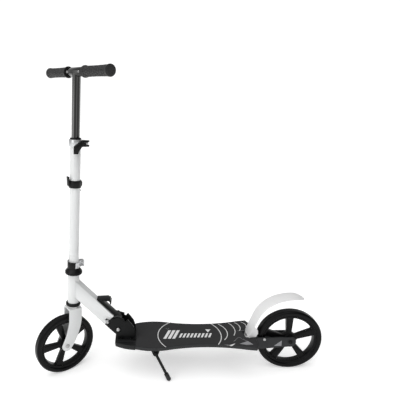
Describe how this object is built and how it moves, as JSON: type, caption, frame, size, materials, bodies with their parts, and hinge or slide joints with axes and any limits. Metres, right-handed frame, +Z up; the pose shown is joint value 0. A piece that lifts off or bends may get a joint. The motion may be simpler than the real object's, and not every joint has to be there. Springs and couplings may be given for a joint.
{
  "type": "kick scooter",
  "caption": "Folding kick scooter with large moulded wheels, a waisted deck, a curved rear fender brake, a side stand and a height-adjustable T handlebar turned to the left.",
  "frame": {"origin": "on the ground, at the middle of the scooter's length and width", "axes": "+Z up, travel along -X, the rider's left along -Y"},
  "size_m": [0.9018, 0.3166, 0.9643],
  "materials": {
    "white_paint": "gloss",
    "black_paint": "satin",
    "grey_paint": "satin",
    "deck_metal": "matt dark anodised",
    "deck_cover": "fine grit",
    "nose_plastic": "satin",
    "tyre": "smooth",
    "rim_plastic": "satin moulded",
    "steel": "bright zinc",
    "chrome": "polished",
    "alloy": "satin",
    "black_plastic": "satin",
    "white_plastic": "gloss",
    "grip_rubber": "matt"
  },
  "bodies": {
    "deck_frame": {"deck": "deck_metal", "grip_tape": "deck_cover", "deck_nose": "nose_plastic", "fold_plate_left": "black_paint", "fold_plate_right": "black_paint", "deck_screws": "black_paint", "fold_pivot_pin": "steel", "rear_plate_left": "grey_paint", "rear_plate_right": "grey_paint", "rear_axle_bolt": "black_paint", "rear_axle_nut": "black_paint", "rear_spacers": "steel", "fender_pivot_pin": "steel", "fender_spring": "steel", "kickstand_bracket": "black_paint", "kickstand_pin": "black_paint"},
    "rear_wheel": {"rear_tyre": "tyre", "rear_rim": "rim_plastic", "rear_bearings": "steel"},
    "brake": {"fender_brake": "white_plastic"},
    "kickstand": {"kickstand_leg": "black_paint", "kickstand_foot": "grip_rubber"},
    "front_frame": {"head_tube": "white_paint", "down_tube": "white_paint", "fold_bushing": "black_plastic", "upper_cup": "black_paint", "lower_cup": "black_paint", "headset_bearings": "steel", "lock_springs": "steel", "lever_pin": "steel"},
    "lock": {"lock_pin": "steel", "lock_nuts": "steel"},
    "fold_lever": {"fold_lever": "black_paint"},
    "steering": {"fork": "white_paint", "steerer_tube": "steel", "crown_race": "steel", "top_cover": "black_plastic", "column_tube": "white_paint", "lower_clamp": "alloy", "lower_clamp_bolts": "steel", "clamp_guard": "black_plastic", "storage_clip": "black_plastic", "upper_clamp": "alloy", "upper_clamp_bolt": "steel", "column_bushing": "black_plastic", "front_axle_bolt": "steel", "front_axle_nut": "steel", "front_spacers": "steel"},
    "front_wheel": {"front_tyre": "tyre", "front_rim": "rim_plastic", "front_bearings": "steel"},
    "clamp_lever": {"clamp_lever": "black_plastic"},
    "stem": {"t_stem": "chrome"},
    "height_button": {"height_button": "steel"},
    "handle_left": {"handle_tube_left": "chrome", "grip_left": "grip_rubber"},
    "handle_right": {"handle_tube_right": "chrome", "grip_right": "grip_rubber"},
    "snap_button_left": {"snap_button_left": "steel"},
    "snap_button_right": {"snap_button_right": "steel"}
  },
  "joints": [
    {"name": "rear_spin", "type": "hinge", "parent": "deck_frame", "child": "rear_wheel", "pos_m": [0.35092, 0, 0.1], "axis": [0, 1, 0], "continuous": true},
    {"name": "brake_press", "type": "hinge", "parent": "deck_frame", "child": "brake", "pos_m": [0.22992, 0, 0.1055], "axis": [0, 1, 0], "range_deg": [0, 18], "stiffness_Nm_per_rad": 1.2, "springref_deg": -6.88},
    {"name": "kickstand_fold", "type": "hinge", "parent": "deck_frame", "child": "kickstand", "pos_m": [-0.07108, -0.057, 0.086], "axis": [0, -0.9792, 0.2028], "range_deg": [0, 70]},
    {"name": "fold", "type": "hinge", "parent": "deck_frame", "child": "front_frame", "pos_m": [-0.18708, 0, 0.15], "axis": [0, 1, 0], "range_deg": [0, 85]},
    {"name": "lever_pull", "type": "hinge", "parent": "front_frame", "child": "fold_lever", "pos_m": [-0.18438, 0, 0.1867], "axis": [0, 1, 0], "range_deg": [0, 14], "stiffness_Nm_per_rad": 0.9, "springref_deg": -5.73},
    {"name": "lock_release", "type": "slide", "parent": "front_frame", "child": "lock", "axis": [-0.7431, 0, 0.6691], "range_m": [0, 0.003]},
    {"name": "steering_turn", "type": "hinge", "parent": "front_frame", "child": "steering", "pos_m": [-0.34119, 0, 0.09756], "axis": [0.0872, 0, 0.9962], "range_deg": [-110, 40]},
    {"name": "front_spin", "type": "hinge", "parent": "steering", "child": "front_wheel", "pos_m": [-0.36404, -0.01606, 0.09956], "axis": [-0.5714, 0.8192, 0.05], "continuous": true},
    {"name": "clamp_open", "type": "hinge", "parent": "steering", "child": "clamp_lever", "pos_m": [-0.25124, -0.00589, 0.74217], "axis": [0.0872, 0, 0.9962], "range_deg": [0, 110]},
    {"name": "height_slide", "type": "slide", "parent": "steering", "child": "stem", "axis": [0.0872, 0, 0.9962], "range_m": [-0.1, 0], "deforming": ["height_button"]},
    {"name": "height_press", "type": "slide", "parent": "stem", "child": "height_button", "axis": [-0.816, -0.5736, 0.0714], "range_m": [0, 0.0052], "stiffness_N_per_m": 300, "springref_m": -0.002},
    {"name": "handle_left_pull", "type": "slide", "parent": "stem", "child": "handle_left", "axis": [0.5714, -0.8192, -0.05], "range_m": [0, 0.04], "deforming": ["snap_button_left"]},
    {"name": "handle_right_pull", "type": "slide", "parent": "stem", "child": "handle_right", "axis": [-0.5714, 0.8192, 0.05], "range_m": [0, 0.04], "deforming": ["snap_button_right"]},
    {"name": "snap_left_press", "type": "slide", "parent": "handle_left", "child": "snap_button_left", "axis": [0.816, 0.5736, -0.0714], "range_m": [0, 0.0036], "stiffness_N_per_m": 300, "springref_m": -0.002},
    {"name": "snap_right_press", "type": "slide", "parent": "handle_right", "child": "snap_button_right", "axis": [0.816, 0.5736, -0.0714], "range_m": [0, 0.0036], "stiffness_N_per_m": 300, "springref_m": -0.002}
  ],
  "couplings": [
    {"joint": "lock_release", "follows": "lever_pull", "m_per_rad": 0.0122}
  ]
}
